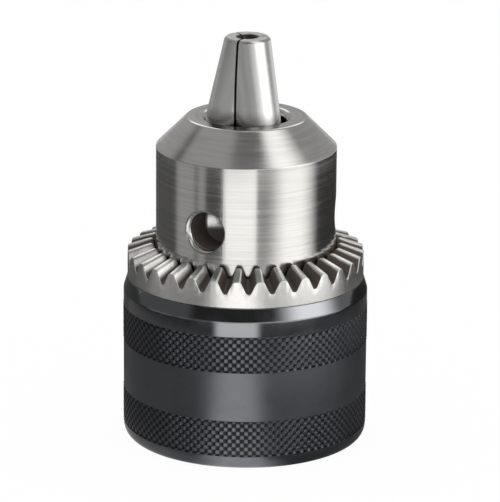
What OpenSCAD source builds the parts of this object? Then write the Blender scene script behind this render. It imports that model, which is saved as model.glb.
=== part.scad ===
// Keyed three-jaw drill chuck, closed, standing on its rear face with the jaws up.
// Millimetres. The origin is the centre of the rear face and +Z points out of the nose.

/* [Body] */
// Wall of the body outside the jaw bores, where the front cylinder starts
body_wall = 2.4; // [1.8:0.02:3.6]
// Height of the nose face above the key-hole centres
nose_rise = 17; // [14:0.1:20]
// Slope of the nose cone from the axis, in degrees
nose_angle = 45; // [35:1:55]
// Radial gap between the closed jaws and the round mouth in the nose
mouth_gap = 0.72; // [0.4:0.02:1.2]
// Depth of the round mouth
mouth_depth = 2; // [1:0.1:2.2]
// Width of the flat ring around the mouth
nose_ring_w = 2.55; // [1:0.05:3]
// Bevel on the edge of the mouth
mouth_bevel = 0.3; // [0.1:0.05:0.6]
// Diameter of the throat that takes a tool shank
throat_d = 13.8; // [12:0.1:14.6]
// Bevel around the rear face
rear_bevel = 0.6; // [0.2:0.1:1]

/* [Spindle thread] */
// Tap size of the half-inch, 20 per inch spindle thread
thread_bore_d = 11.51; // [9:0.01:12.4]
// Depth of the spindle thread
thread_depth = 16; // [12:0.5:18]
// Bevel at the start of the spindle thread
thread_bevel = 0.9; // [0.4:0.1:1.4]
// Diameter of the hole for a retaining screw
screw_hole_d = 6.8; // [5:0.1:8]
// Thickness of the web between the thread and the throat
web_t = 8.5; // [7:0.1:12]

/* [Key holes] */
// Diameter of the holes for the key's pilot
key_hole_d = 6.5; // [5:0.1:7.5]
// Height of the key-hole centres above the seat of the gear ring
key_rise = 11.5; // [10.5:0.1:14]
// Depth of the straight part of a key hole, from the front cylinder
key_hole_depth = 6.2; // [4.5:0.1:6.6]
// Depth of the bevel on a key hole
key_hole_bevel = 0.9; // [0.3:0.1:1.2]

/* [Jaws] */
// Diameter of the jaw rods
jaw_d = 8.4; // [7:0.1:9]
// Slope of the jaws from the axis, in degrees
jaw_angle = 13; // [11:0.25:14.5]
// Diameter across the closed jaw tips
jaw_tip_d = 7.7; // [6.5:0.1:9]
// Reach of the closed jaws past the nose face
jaw_reach = 14; // [10:0.1:18]
// Slit between closed jaws
jaw_slit = 0.44; // [0.2:0.02:0.8]
// Smallest tool that the closed jaws hold
grip_d = 1.5; // [1:0.1:2.5]
// Length of closed jaw that stays in the nut
nut_engagement = 3.6; // [3:0.1:5]
// Bevel on the jaw tails
jaw_tail_bevel = 1; // [0.5:0.1:1.4]
// Bevel on the jaw tips
jaw_tip_bevel = 0.3; // [0.1:0.05:0.6]
// Turn of the jaws from midway between the key holes, in degrees
jaw_turn = 2; // [-8:0.5:8]

/* [Gear ring] */
// Number of bevel teeth
tooth_count = 32; // [24:1:40]
// Height from the ring's seat to the outer ends of the tooth tips
ring_h = 4.7; // [3.6:0.1:6]
// Height of the teeth at their outer ends
tooth_h = 2.25; // [1.6:0.05:2.8]
// Rounding of the tooth roots
root_round = 0.28; // [0.2:0.02:0.4]
// Rounding of the tooth tips
tip_round = 0.9; // [0.6:0.05:1]
// Step from the sleeve's smooth bands in to the ring's rim
ring_inset = 0.7; // [0.3:0.05:1.2]
// Gap between the ring and the body
ring_gap = 0.3; // [0.15:0.05:0.6]
// Bevel on the inner ends of the teeth
tooth_end_bevel = 0.5; // [0.2:0.1:0.8]
// Width of the lip that covers the nut
ring_lip_w = 0.82; // [0.5:0.02:1.2]
// Height of the spigot that is pressed into the sleeve
spigot_h = 2.2; // [1.2:0.1:3]
// Turn of the first tooth space from the first key hole, in degrees
tooth_turn = 5; // [0:0.5:11]

/* [Sleeve] */
// Wall of the sleeve at its smooth bands
sleeve_wall = 2; // [1.5:0.05:3]
// Height of the raised knurled bands
knurl_h = 0.2; // [0.1:0.02:0.4]
// Gap below the sleeve when the chuck stands on its rear face
sleeve_lift = 0.3; // [0.1:0.05:1]
// Height of the smooth foot below the lower knurl
foot_h = 2.4; // [2.1:0.1:4]
// Height of the lower knurled band
lower_knurl_h = 6.4; // [4:0.1:9]
// Height of the bare band between the knurls
middle_h = 8.7; // [5:0.1:12]
// Height of the upper knurled band
upper_knurl_h = 6.4; // [4:0.1:9]
// Height of the smooth shoulder above the upper knurl
shoulder_h = 2.6; // [1.5:0.1:4]
// Height of the cone between the shoulder and the gear ring
cone_h = 2.3; // [1.2:0.1:4]
// Height of the rounded lower edge
foot_round_h = 1.95; // [1:0.05:2]
// Width of the rounded lower edge
foot_round_w = 1.45; // [0.6:0.05:1.6]
// Height of the lip at the foot of the bore
foot_lip_h = 1.3; // [0.8:0.1:1.4]
// Depth of the groove that clears the jaw tails
tail_groove_depth = 0.55; // [0.4:0.05:0.8]
// Height of the groove that clears the jaw tails
tail_groove_h = 4.5; // [4:0.1:6]

/* [Nut and bearing] */
// Height of the split nut
nut_h = 10.8; // [8:0.1:12]
// Height of the nut above the gear ring's seat
nut_rise = 1.5; // [1:0.1:2]
// Width of the cut between the nut halves
nut_split = 0.1; // [0.05:0.01:0.3]
// Depth of the body's groove behind the nut's inner cone
nut_groove_gap = 0.7; // [0.3:0.05:1.2]
// Diameter of the bearing balls
ball_d = 2; // [1.5:0.1:2.2]
// Number of bearing balls
ball_count = 24; // [12:1:30]
// Depth of the ball tracks
track_depth = 0.25; // [0.1:0.05:0.4]
// Thickness of the thrust race
race_t = 1.2; // [0.8:0.1:2]
// Width of the thrust race
race_w = 2.55; // [2.2:0.05:3.2]
// Thickness of the ball cage
cage_t = 0.8; // [0.5:0.1:1.1]

/* [Fits] */
// Radial gap between turning pieces
running_gap = 0.15; // [0.1:0.01:0.25]
// Radial gap between a jaw and its bore
jaw_gap = 0.1; // [0.06:0.01:0.16]
// Radial gap at a press fit
press_gap = 0.02; // [0.01:0.01:0.04]
// Gap between a ball and its tracks and cage
ball_gap = 0.05; // [0.03:0.01:0.1]

/* [Hidden] */
$fn = 96;
jaw_count = 3;
jaw_step = 360 / jaw_count;
// Length that reaches past every piece
far = 200;
// Direction in which the round of a tooth tip meets its flat land
land_angle = 65;
// Overrun that keeps a cut clear of the face that it opens
overrun = 1;
// Slope of a drill point
drill_point_angle = 59;

// Heights, from the rear face up
lower_knurl_z = sleeve_lift + foot_h;
middle_z = lower_knurl_z + lower_knurl_h;
upper_knurl_z = middle_z + middle_h;
shoulder_z = upper_knurl_z + upper_knurl_h;
cone_z = shoulder_z + shoulder_h;
ring_seat_z = cone_z + cone_h;
tooth_tip_z = ring_seat_z + ring_h;
key_hole_z = ring_seat_z + key_rise;
nose_z = key_hole_z + nose_rise;
tip_z = nose_z + jaw_reach;
nut_front_z = ring_seat_z + nut_rise;
nut_rear_z = nut_front_z - nut_h;
ball_z = nut_rear_z + track_depth - ball_gap - ball_d / 2;
race_top_z = ball_z - ball_d / 2 - ball_gap + track_depth;
collar_top_z = race_top_z - race_t;
body_shoulder_z = nut_front_z + running_gap;
nut_step_z = ring_seat_z - spigot_h - press_gap;
jaw_tail_z = nut_front_z - nut_engagement;
throat_floor_z = thread_depth + web_t;

// Radius of the jaws' outer line at a height
function jaw_line(z) = jaw_tip_d / 2 + (tip_z - z) * tan(jaw_angle);

// Radii, from the jaws out
jaw_axis_r = jaw_line(0) - jaw_d / 2 / cos(jaw_angle);
jaw_tail_r = jaw_line(jaw_tail_z);
mouth_r = jaw_line(nose_z) + mouth_gap;
nose_flat_r = mouth_r + nose_ring_w;
body_r = jaw_line(body_shoulder_z) + body_wall;
nose_cone_z = nose_z - (body_r - nose_flat_r) / tan(nose_angle);
nut_groove_r = jaw_line(nut_front_z) + running_gap - nut_groove_gap;
race_in_r = jaw_line(collar_top_z) + running_gap;
race_out_r = race_in_r + race_w;
cage_in_r = jaw_line(ball_z - cage_t / 2) + running_gap;
ball_ring_r = (cage_in_r + race_out_r) / 2;
bore_r = race_out_r + running_gap;
collar_r = bore_r - running_gap;
sleeve_r = bore_r + sleeve_wall;
ring_r = sleeve_r - ring_inset;
ring_bore_r = body_r + ring_gap;
nut_front_r = ring_bore_r + ring_lip_w;
nut_out_r = bore_r - press_gap;
key_hole_floor_r = body_r - key_hole_depth;
foot_round_in = min(foot_round_w, sleeve_wall - running_gap);

// A round bar along a jaw's line, with the seam of its surface turned to the side
module jaw_bar(r) {
    translate([jaw_axis_r, 0, 0])
        rotate([0, -jaw_angle, 0])
            rotate([0, 0, 90])
                cylinder(h = far, r = r, center = true);
}

// Its children at the place of jaw number i, counted from 1
module at_jaw(i) {
    rotate([0, 0, jaw_turn - 30 + jaw_step * (i - 1)]) children();
}

// One key hole: straight part, drill point and bevel, opening towards -Y
module key_hole() {
    key_r = key_hole_d / 2;
    point_h = key_r / tan(drill_point_angle);
    bevel_r = body_r - key_hole_bevel;
    translate([0, -key_hole_floor_r, key_hole_z]) rotate([90, 0, 0]) {
        cylinder(h = key_hole_depth + overrun, r = key_r);
        translate([0, 0, -point_h]) cylinder(h = point_h, r1 = 0, r2 = key_r);
    }
    translate([0, -bevel_r, key_hole_z]) rotate([90, 0, 0])
        cylinder(h = key_hole_bevel + overrun, r1 = key_r, r2 = key_r + key_hole_bevel + overrun);
}

// Half outline of the body: up the outside, then down through the mouth, throat and spindle bore
module body_outline() {
    thread_r = thread_bore_d / 2;
    screw_r = screw_hole_d / 2;
    throat_r = throat_d / 2;
    mouth_floor_z = nose_z - mouth_depth;
    point_z = throat_floor_z - (throat_r - screw_r) / tan(drill_point_angle);
    polygon([
        [thread_r + thread_bevel, 0], [collar_r - rear_bevel, 0], [collar_r, rear_bevel],
        [collar_r, collar_top_z], [nut_groove_r, collar_top_z], [nut_groove_r, body_shoulder_z],
        [body_r, body_shoulder_z], [body_r, nose_cone_z], [nose_flat_r, nose_z],
        [mouth_r + mouth_bevel, nose_z], [mouth_r, nose_z - mouth_bevel], [mouth_r, mouth_floor_z],
        [throat_r, mouth_floor_z], [throat_r, throat_floor_z], [screw_r, point_z],
        [screw_r, thread_depth], [thread_r, thread_depth], [thread_r, thread_bevel]
    ]);
}

module chuck_body() {
    color("silver") difference() {
        rotate_extrude() body_outline();
        for (i = [1 : jaw_count]) {
            at_jaw(i) jaw_bar(jaw_d / 2 + jaw_gap);
            rotate([0, 0, jaw_step * (i - 1)]) key_hole();
        }
    }
}

// Half outline of the space that a closed jaw may fill, bevelled at the tail and the tip
module jaw_limits() {
    tip_r = jaw_tip_d / 2 - jaw_tip_bevel;
    polygon([
        [0, jaw_tail_z], [jaw_tail_r - jaw_tail_bevel, jaw_tail_z], [jaw_tail_r, jaw_tail_z + jaw_tail_bevel],
        [jaw_tail_r, tip_z - (jaw_tail_r - tip_r)], [tip_r, tip_z], [0, tip_z]
    ]);
}

// Wedge between the slits on both sides of a jaw
module jaw_wedge() {
    edge_x = jaw_slit / 2 / sin(jaw_step / 2);
    side_y = far * tan(jaw_step / 2);
    linear_extrude(height = tip_z + overrun)
        polygon([[edge_x, 0], [edge_x + far, -side_y], [edge_x + far, side_y]]);
}

// One jaw: a sloped rod that the two slits sharpen to a wedge, with the hollow of the grip
module jaw(i) {
    color("gainsboro") at_jaw(i) difference() {
        intersection() {
            jaw_bar(jaw_d / 2);
            jaw_wedge();
            rotate_extrude() jaw_limits();
        }
        cylinder(h = far, r = grip_d / 2);
    }
}

module jaw_1() { jaw(1); }

module jaw_2() { jaw(2); }

module jaw_3() { jaw(3); }

// Round track for the balls
module ball_track() {
    translate([0, 0, ball_z])
        rotate_extrude()
            translate([ball_ring_r, 0])
                circle(r = ball_d / 2 + ball_gap, $fn = 48);
}

// The whole nut before it is split: its inner cone runs along the jaws
module whole_nut() {
    difference() {
        rotate_extrude()
            polygon([
                [jaw_line(nut_rear_z) + running_gap, nut_rear_z], [nut_out_r, nut_rear_z],
                [nut_out_r, nut_step_z], [nut_front_r, nut_step_z], [nut_front_r, nut_front_z],
                [jaw_line(nut_front_z) + running_gap, nut_front_z]
            ]);
        ball_track();
    }
}

// One half of the nut, on the side that the sign gives
module nut_half(side) {
    color("dimgray") intersection() {
        whole_nut();
        translate([side * (nut_split + far) / 2, 0, 0]) cube(far, center = true);
    }
}

module nut_half_left() { nut_half(-1); }

module nut_half_right() { nut_half(1); }

// Points of an arc round a centre
function arc(centre, r, from, to) = [
    for (i = [0 : 4])
        let (a = from + (to - from) * i / 4)
            centre + r * [cos(a), sin(a)]
];

// Right half of a tooth space at the rim, from its root up: root round, straight flank and tip round
function half_space() =
    let (
        half_pitch = ring_r * sin(180 / tooth_count),
        root = [0, root_round],
        tip = [half_pitch, tooth_h - tip_round * sin(land_angle)],
        span = tip - root,
        flank = atan2(span.x, span.y) - asin((root_round + tip_round) / norm(span)),
        round_end = arc(tip, tip_round, 180 - flank, 180 - land_angle)
    )
    concat(
        arc(root, root_round, -90, -flank),
        round_end,
        [[round_end[4].x, tooth_h + overrun]]
    );

// A tooth space at the rim, drawn below the point where all the tooth lines meet
module space_outline() {
    right = half_space();
    left = [for (i = [len(right) - 1 : -1 : 1]) [-right[i].x, right[i].y]];
    translate([0, tooth_tip_z - tooth_h - key_hole_z]) polygon(concat(right, left));
}

// One tooth space, narrowing towards the axis at the height of the key
module tooth_space() {
    outer_r = ring_r + overrun;
    inner_r = ring_bore_r - overrun;
    translate([0, -outer_r, key_hole_z])
        mirror([0, 1, 0])
            rotate([90, 0, 0])
                linear_extrude(height = outer_r - inner_r, scale = inner_r / outer_r)
                    scale(outer_r / ring_r)
                        space_outline();
}

module gear_ring() {
    tip_slope = (key_hole_z - tooth_tip_z) / ring_r;
    inner_tip_z = key_hole_z - tip_slope * ring_bore_r;
    socket_r = nut_front_r + press_gap;
    socket_z = nut_front_z + running_gap;
    spigot_r = bore_r - press_gap;
    spigot_z = ring_seat_z - spigot_h;
    color("lightgray") difference() {
        rotate_extrude()
            polygon([
                [ring_r, ring_seat_z], [ring_r, tooth_tip_z],
                [ring_bore_r + tooth_end_bevel, inner_tip_z - tip_slope * tooth_end_bevel],
                [ring_bore_r, inner_tip_z - tooth_end_bevel * 2], [ring_bore_r, socket_z],
                [socket_r, socket_z], [socket_r, spigot_z], [spigot_r, spigot_z], [spigot_r, ring_seat_z]
            ]);
        for (i = [0 : tooth_count - 1])
            rotate([0, 0, tooth_turn + i * 360 / tooth_count]) tooth_space();
    }
}

// Points of the rounded lower edge of the sleeve
function foot_round() = [
    for (a = [0 : 15 : 90])
        [sleeve_r - foot_round_in * (1 - sin(a)), sleeve_lift + foot_round_h * (1 - cos(a))]
];

// A raised band as outline points, from its lower to its upper edge
function raised_band(z, h) = [
    [sleeve_r, z], [sleeve_r + knurl_h, z + knurl_h], [sleeve_r + knurl_h, z + h - knurl_h], [sleeve_r, z + h]
];

module knurled_sleeve() {
    groove_z = sleeve_lift + foot_lip_h;
    groove_r = bore_r + tail_groove_depth;
    outside = concat(
        foot_round(),
        raised_band(lower_knurl_z, lower_knurl_h),
        raised_band(upper_knurl_z, upper_knurl_h),
        [[sleeve_r, cone_z], [ring_r, ring_seat_z]]
    );
    inside = [
        [bore_r, ring_seat_z], [bore_r, groove_z + tail_groove_h],
        [groove_r, groove_z + tail_groove_h - tail_groove_depth], [groove_r, groove_z],
        [bore_r, groove_z], [bore_r, sleeve_lift]
    ];
    color("darkslategray") rotate_extrude() polygon(concat(outside, inside));
}

module thrust_race() {
    color("slategray") difference() {
        rotate_extrude()
            translate([race_in_r, collar_top_z])
                square([race_w, race_t]);
        ball_track();
    }
}

// Its children at the place of each ball
module at_balls() {
    for (i = [0 : ball_count - 1])
        rotate([0, 0, i * 360 / ball_count]) translate([ball_ring_r, 0, ball_z]) children();
}

module ball_cage() {
    color("goldenrod") difference() {
        rotate_extrude()
            translate([cage_in_r, ball_z - cage_t / 2])
                square([race_out_r - cage_in_r, cage_t]);
        at_balls() cylinder(h = cage_t + overrun, r = ball_d / 2 + ball_gap, center = true);
    }
}

module bearing_balls() {
    color("whitesmoke") at_balls() sphere(d = ball_d);
}

chuck_body();
jaw_1();
jaw_2();
jaw_3();
nut_half_left();
nut_half_right();
gear_ring();
knurled_sleeve();
thrust_race();
ball_cage();
bearing_balls();
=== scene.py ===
"""Looks of a keyed three-jaw drill chuck: its shown pieces are modelled, finished and lit here."""

import math

import bpy
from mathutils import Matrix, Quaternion, Vector


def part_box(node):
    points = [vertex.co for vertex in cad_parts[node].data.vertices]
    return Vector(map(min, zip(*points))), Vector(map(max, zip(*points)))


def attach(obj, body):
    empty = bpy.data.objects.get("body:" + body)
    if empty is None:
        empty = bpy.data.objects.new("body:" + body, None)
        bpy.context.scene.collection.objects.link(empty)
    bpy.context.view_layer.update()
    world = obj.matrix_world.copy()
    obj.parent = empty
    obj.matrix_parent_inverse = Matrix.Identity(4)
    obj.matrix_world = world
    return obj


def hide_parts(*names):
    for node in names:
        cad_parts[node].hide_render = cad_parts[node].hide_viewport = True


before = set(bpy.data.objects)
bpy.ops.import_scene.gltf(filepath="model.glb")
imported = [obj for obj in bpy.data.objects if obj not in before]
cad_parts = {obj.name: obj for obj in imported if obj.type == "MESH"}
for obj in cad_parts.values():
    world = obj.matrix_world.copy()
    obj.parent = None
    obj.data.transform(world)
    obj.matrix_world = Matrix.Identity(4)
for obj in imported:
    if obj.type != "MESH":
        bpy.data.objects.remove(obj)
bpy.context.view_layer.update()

bl_info = {
    "name": "Drill chuck",
    "version": (1, 0, 0),
    "blender": (4, 5, 0),
    "location": "View3D > Sidebar > Chuck",
    "description": "Models the pieces of a keyed three-jaw drill chuck over its CAD frame",
    "category": "Object",
}

MM = 0.001
TURN = 2 * math.pi
# Places that differ by less than this count as the same
HAIR = 0.01 * MM
# Corners nearer than this are merged
MERGE = 0.002 * MM
# Plain strength of the wall cards, and the warm tint of all cards
CARD_LIGHT = 0.4
CARD_TINT = (1.0, 0.995, 0.975)

_, BODY_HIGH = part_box("chuck_body")
RING_LOW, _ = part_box("gear_ring")
SLEEVE_LOW, SLEEVE_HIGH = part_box("knurled_sleeve")
JAW_LOW, JAW_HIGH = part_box("jaw_1")


# Properties


def length(name, description, metres):
    """A size in metres that a user may change."""
    return bpy.props.FloatProperty(
        name=name, description=description, default=metres, min=0.0, unit="LENGTH", precision=5)


def angle(name, description, degrees):
    """An angle that a user may change."""
    return bpy.props.FloatProperty(
        name=name, description=description, default=math.radians(degrees), subtype="ANGLE")


def colour(name, description, value):
    """A colour that a user may change."""
    return bpy.props.FloatVectorProperty(
        name=name, description=description, default=value, size=3, min=0.0, max=1.0, subtype="COLOR")


def share(name, description, value):
    """A number from 0 to 1 that a user may change."""
    return bpy.props.FloatProperty(
        name=name, description=description, default=value, min=0.0, max=1.0, subtype="FACTOR")


def count(name, description, value, least):
    """A whole number that a user may change."""
    return bpy.props.IntProperty(name=name, description=description, default=value, min=least)


def group(name, description, kind):
    """A group of settings."""
    return bpy.props.PointerProperty(name=name, description=description, type=kind)


class ChuckBodySizes(bpy.types.PropertyGroup):
    """Sizes of the turned body and its holes."""

    collar_r: length("Collar radius", "Outside of the rear collar", BODY_HIGH[0])
    collar_top: length("Collar top", "Height of the seat of the bearing", 17.0 * MM)
    groove_r: length("Groove radius", "Floor of the groove that holds the nut", 12.766 * MM)
    shoulder: length("Shoulder", "Height of the front shoulder of the groove", 30.75 * MM)
    front_r: length("Front radius", "Bright front cylinder", 15.681 * MM)
    cone_foot: length("Cone foot", "Height where the nose cone begins", 52.271 * MM)
    nose: length("Nose", "Height of the flat front face", BODY_HIGH[2])
    nose_flat_r: length("Nose flat radius", "Outer edge of the flat front face", 10.352 * MM)
    mouth_r: length("Mouth radius", "Bevelled mouth that the jaws come out of", 7.802 * MM)
    mouth_depth: length("Mouth depth", "Depth of that bevel", 0.9 * MM)
    throat_r: length("Throat radius", "Hole for the tool shank behind the mouth", 6.9 * MM)
    throat_floor: length("Throat floor", "Height of the shoulder of the throat's drill point", 24.5 * MM)
    screw_r: length("Screw hole radius", "Hole for the retaining screw", 3.4 * MM)
    throat_point: length("Throat point", "Height where the drill point meets the screw hole", 22.397 * MM)
    key_r: length("Key hole radius", "Straight part of a key hole", 3.25 * MM)
    key_height: length("Key hole height", "Height of the axes of the key holes", 40.6 * MM)
    key_depth: length("Key hole depth", "Depth of the straight part", 6.2 * MM)
    key_edge: length("Key hole edge", "Radius of the rounded edge of a key hole", 0.95 * MM)
    key_drift: length("Key edge drift", "How far that edge is broken more on one side", 0.35 * MM)
    drill_angle: angle("Drill angle", "Half angle of a drill point", 59.0)
    thread_major_r: length("Thread major radius", "Root of the spindle thread", 6.35 * MM)
    thread_minor_r: length("Thread minor radius", "Crest of the spindle thread", 5.755 * MM)
    thread_pitch: length("Thread pitch", "Pitch of the spindle thread", 1.27 * MM)
    thread_depth: length("Thread depth", "Depth of the threaded bore", 16.0 * MM)
    thread_mouth_r: length("Thread mouth radius", "Outer edge of the bevel at the rear", 6.655 * MM)


class ChuckJawSizes(bpy.types.PropertyGroup):
    """Sizes of the three jaws."""

    rod_r: length("Rod radius", "Radius of the rod that a jaw is cut from", 4.2 * MM)
    play: length("Play", "Room round a jaw in its bore", 0.1 * MM)
    slope: angle("Slope", "Angle between a jaw and the chuck's axis", 13.0)
    foot_r: length("Foot radius", "Distance of a jaw's axis from the chuck's axis at the floor", 16.07 * MM)
    first: angle("First jaw", "Place of the first jaw round the axis", -28.0)
    slit: length("Slit", "Gap between two closed jaws", 0.4 * MM)
    grip_r: length("Grip radius", "Hollow between the closed jaws", 0.75 * MM)
    tail: length("Tail", "Height of the rear ends", JAW_LOW[2])
    tail_r: length("Tail radius", "Reach of the rear ends from the axis", 14.147 * MM)
    tail_bevel: length("Tail bevel", "Bevel of the rear ends", 1.0 * MM)
    tip: length("Tip", "Height of the front ends", JAW_HIGH[2])
    tip_r: length("Tip radius", "Reach of the flat front ends from the axis", 3.55 * MM)
    hollow_r: length("Hollow radius", "Mouth of the bevelled hollow between the tips", 2.05 * MM)
    edge: length("Edge", "Width of the bevel on a jaw's edges", 0.06 * MM)
    tooth_pitch: length("Tooth pitch", "Pitch of the thread teeth on a jaw's back", 2.0 * MM)
    tooth_depth: length("Tooth depth", "Depth of the thread teeth", 0.7 * MM)
    tooth_length: length("Toothed length", "Height of the toothed part of a jaw", 24.0 * MM)


class ChuckRingSizes(bpy.types.PropertyGroup):
    """Sizes of the bevel gear ring."""

    teeth: count("Teeth", "Number of teeth", 32, 12)
    rim_r: length("Rim radius", "Outside of the ring", 20.605 * MM)
    bore_r: length("Bore radius", "Hole round the body", 15.981 * MM)
    seat: length("Seat", "Height of the joint with the sleeve", SLEEVE_HIGH[2])
    tip: length("Tooth tips", "Height of the tooth tips at the rim", 33.8 * MM)
    tooth_height: length("Tooth height", "Height of a tooth at the rim", 2.25 * MM)
    root_round: length("Root round", "Radius of the root of a tooth space", 0.5 * MM)
    tip_round: length("Tip round", "Radius of the shoulders of a tooth", 0.9 * MM)
    land: angle("Land angle", "Where the round shoulder meets the top of a tooth", 65.0)
    turn: angle("Turn", "Place of the first tooth space round the axis", 5.0)
    rim_edge: length("Rim edge", "Round on the outer ends of the teeth", 0.1 * MM)
    inner_edge: length("Inner edge", "Round on the inner ends of the teeth", 0.95 * MM)
    socket_r: length("Socket radius", "Socket for the nut", 16.821 * MM)
    socket: length("Socket", "Height of the socket's floor", 30.75 * MM)
    spigot_r: length("Spigot radius", "Spigot pressed into the sleeve", 19.285 * MM)
    spigot: length("Spigot", "Height of the spigot's lower end", RING_LOW[2])
    # Side of the ring that faces the light: there the flanks of the teeth get no painted shade
    lit_side: angle("Wiped side", "Side of the ring where the flanks of the teeth are wiped clean", 243.0)


class ChuckSleeveSizes(bpy.types.PropertyGroup):
    """Sizes of the knurled sleeve."""

    outer_r: length("Outer radius", "Smooth bands of the sleeve", 21.305 * MM)
    bore_r: length("Bore radius", "Inside of the sleeve", 19.305 * MM)
    foot: length("Foot", "Height of the rear end", SLEEVE_LOW[2])
    foot_round_w: length("Foot round width", "Width of the rounded rear edge", 1.45 * MM)
    foot_round_h: length("Foot round height", "Height of the rounded rear edge", 1.95 * MM)
    lower_knurl: length("Lower knurl", "Height where the lower knurl begins", 2.7 * MM)
    upper_knurl: length("Upper knurl", "Height where the upper knurl begins", 17.8 * MM)
    knurl_h: length("Knurl height", "Height of each knurled band", 6.4 * MM)
    cone_foot: length("Cone foot", "Height where the cone under the ring begins", 26.8 * MM)
    top: length("Top", "Height of the joint with the ring", SLEEVE_HIGH[2])
    top_r: length("Top radius", "Radius at the joint with the ring", 20.605 * MM)
    peak_r: length("Peak radius", "Tops of the knurl", SLEEVE_HIGH[0])
    pit_r: length("Pit radius", "Crossings of the grooves of the knurl", 21.08 * MM)
    peak_flat: length("Peak flat", "Half width of the worn top of a diamond", 0.36 * MM)
    diamonds: count("Diamonds", "Diamonds round each knurled band", 94, 24)
    diamond_rows: count("Diamond rows", "Half rows of diamonds in each band", 9, 3)
    groove_low: length("Groove low", "Lower end of the groove inside the rear end", 1.6 * MM)
    groove_high: length("Groove high", "Upper end of that groove", 6.1 * MM)
    groove_depth: length("Groove depth", "Depth of that groove", 0.55 * MM)


class ChuckFinishes(bpy.types.PropertyGroup):
    """Colours and gloss of the finishes."""

    body_light: colour("Body light", "Bright lines of the turned steel", (0.66, 0.655, 0.64))
    body_dark: colour("Body dark", "Dark lines of the turned steel", (0.50, 0.495, 0.485))
    body_roughness: share("Body roughness", "Roughness of the turned steel", 0.15)
    jaw_light: colour("Jaw light", "Bright part of the ground steel", (0.60, 0.60, 0.60))
    jaw_dark: colour("Jaw dark", "Dark part of the ground steel", (0.50, 0.50, 0.50))
    jaw_roughness: share("Jaw roughness", "Roughness of the ground steel", 0.22)
    ring_light: colour("Ring light", "Bright part of the satin ring", (0.81, 0.805, 0.79))
    ring_dark: colour("Ring dark", "Dark part of the satin ring", (0.67, 0.665, 0.655))
    ring_roughness: share("Ring roughness", "Roughness of the satin ring", 0.32)
    # Painted shade: dark colour on the jaws where they come out of the nose and in their hollow
    jaw_shade: colour("Grease", "Dark film on the jaws at the nose and in their hollow", (0.052, 0.043, 0.037))
    # Painted shade: brown colour in the key holes and in the gaps between the teeth of the ring
    recess_shade: colour("Oil", "Brown film in the key holes and between the teeth", (0.1, 0.08, 0.066))
    oxide: colour("Black oxide", "Blackened steel of the sleeve", (0.155, 0.16, 0.175))
    oxide_dark: colour("Dark oxide", "Darker clouds of the blackened steel", (0.115, 0.12, 0.135))
    oxide_worn: colour("Worn oxide", "Rubbed tops of the knurl", (0.33, 0.335, 0.355))
    # Painted shade: dark colour in the pits of the knurl
    knurl_pit_shade: colour("Knurl pits", "Dull film in the pits of the knurl", (0.034, 0.034, 0.039))
    oxide_polished: colour("Polished oxide", "Smooth shoulder and cone of the sleeve", (0.235, 0.24, 0.255))
    oxide_roughness: share("Oxide roughness", "Roughness of the blackened steel", 0.24)
    nut: colour("Nut steel", "Steel of the split nut", (0.36, 0.36, 0.37))
    bearing: colour("Bearing steel", "Polished steel of the race and balls", (0.66, 0.66, 0.67))
    brass: colour("Cage brass", "Brass of the ball cage", (0.72, 0.50, 0.20))


class ChuckStudio(bpy.types.PropertyGroup):
    """Camera and light of the stage."""

    azimuth: angle("Azimuth", "Place of the camera round the axis", 25.9)
    elevation: angle("Elevation", "Height of the camera above the horizon", 16.82)
    distance: length("Distance", "From the camera to the point it looks at", 627.0 * MM)
    aim_height: length("Aim height", "Height of the point that the camera looks at", 33.17 * MM)
    aim_side: length("Aim side", "How far that point lies to the right of the axis", 0.75 * MM)
    roll: angle("Roll", "Turn of the camera about its own line of sight", 0.45)
    lens: bpy.props.FloatProperty(
        name="Lens", description="Focal length in millimetres on a 36 mm sensor", default=258.8, min=1.0,
        unit="CAMERA")
    near_r: length("Near radius", "Distance of the low light cards from the axis", 110.0 * MM)
    near_top: length("Near top", "Height of the upper edge of the low light cards", 28.0 * MM)
    far_r: length("Far radius", "Distance of the tall light cards from the axis", 1.0)
    far_top: length("Far top", "Height of the upper edge of the tall light cards", 10.0)
    card_gap: length("Card gap", "Gap between the cards and the floor", 0.2 * MM)
    eye_height: length("Eye height", "Height from which the tall cards are laid out", 45.0 * MM)
    floor_size: length("Floor size", "Side of the floor", 6.0)
    floor_colour: colour("Floor colour", "Pale floor", (0.86, 0.86, 0.86))


class ChuckSettings(bpy.types.PropertyGroup):
    """All that a user may change."""

    body: group("Body", "Sizes of the body", ChuckBodySizes)
    jaw: group("Jaws", "Sizes of the jaws", ChuckJawSizes)
    ring: group("Ring", "Sizes of the ring", ChuckRingSizes)
    sleeve: group("Sleeve", "Sizes of the sleeve", ChuckSleeveSizes)
    finish: group("Finishes", "Colours and gloss", ChuckFinishes)
    studio: group("Studio", "Camera and light", ChuckStudio)


# Modelling


def deselect():
    """Leaves nothing selected, in object mode."""
    bpy.ops.object.select_all(action="DESELECT")


def named(name):
    """The object just added, under its own name."""
    piece = bpy.context.object
    piece.name = name
    piece.data.name = name
    return piece


def pick(piece):
    """Makes one object the only selected and active one."""
    deselect()
    piece.select_set(True)
    bpy.context.view_layer.objects.active = piece


def edit_all(piece):
    """Opens a piece in edit mode with all of it selected."""
    pick(piece)
    bpy.ops.object.mode_set(mode="EDIT")
    bpy.ops.mesh.select_all(action="SELECT")


def edit_some(piece, kind, chosen):
    """Opens a piece in edit mode with only the chosen faces or corners selected, given by number."""
    pick(piece)
    bpy.ops.object.mode_set(mode="EDIT")
    bpy.ops.mesh.select_mode(type=kind)
    bpy.ops.mesh.select_all(action="DESELECT")
    bpy.ops.object.mode_set(mode="OBJECT")
    parts = piece.data.polygons if kind == "FACE" else piece.data.vertices
    for i in chosen:
        parts[i].select = True
    bpy.ops.object.mode_set(mode="EDIT")


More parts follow.
